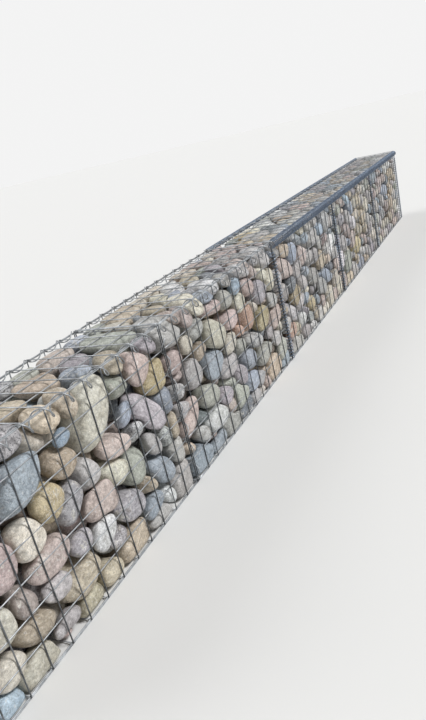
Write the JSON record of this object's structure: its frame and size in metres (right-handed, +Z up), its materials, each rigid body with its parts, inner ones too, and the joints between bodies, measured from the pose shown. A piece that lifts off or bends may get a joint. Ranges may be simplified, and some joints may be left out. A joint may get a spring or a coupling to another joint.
{
  "type": "gabion wall",
  "caption": "Low garden wall of welded wire baskets filled with rounded cobbles, laced together in bays by spiral wire binders.",
  "frame": {"origin": "middle of the underside of the wall's outer box, at ground level", "axes": "+X along the wall from the left end to the right as seen from the front, +Y from the front face into the bank, +Z up"},
  "size_m": [4.9524, 0.3328, 0.5425],
  "materials": {
    "cobbles": "smooth river cobbles in mixed greys, tans, pinks and blues",
    "mesh_wire": "dull galvanised wire",
    "binder_wire": "weathered galvanised spiral wire"
  },
  "bodies": {
    "root": {"cobble_fill_1": "cobbles", "cobble_fill_2": "cobbles", "cobble_fill_3": "cobbles", "cobble_fill_4": "cobbles", "cobble_fill_5": "cobbles", "front_panel_1": "mesh_wire", "front_panel_2": "mesh_wire", "front_panel_3": "mesh_wire", "front_panel_4": "mesh_wire", "front_panel_5": "mesh_wire", "back_panel_1": "mesh_wire", "back_panel_2": "mesh_wire", "back_panel_3": "mesh_wire", "back_panel_4": "mesh_wire", "back_panel_5": "mesh_wire", "lid_panel_1": "mesh_wire", "lid_panel_2": "mesh_wire", "lid_panel_3": "mesh_wire", "lid_panel_4": "mesh_wire", "lid_panel_5": "mesh_wire", "base_panel_1": "mesh_wire", "base_panel_2": "mesh_wire", "base_panel_3": "mesh_wire", "base_panel_4": "mesh_wire", "base_panel_5": "mesh_wire", "lid_binder_1": "binder_wire", "lid_binder_2": "binder_wire", "lid_binder_3": "binder_wire", "lid_binder_4": "binder_wire", "lid_binder_5": "binder_wire", "left_end_panel": "mesh_wire", "right_end_panel": "mesh_wire", "partition_panel_1": "mesh_wire", "partition_panel_2": "mesh_wire", "partition_panel_3": "mesh_wire", "partition_panel_4": "mesh_wire", "joint_binder_1": "binder_wire", "joint_binder_2": "binder_wire", "joint_binder_3": "binder_wire", "joint_binder_4": "binder_wire", "front_left_binder": "binder_wire", "front_right_binder": "binder_wire", "back_left_binder": "binder_wire", "back_right_binder": "binder_wire"}
  },
  "joints": []
}
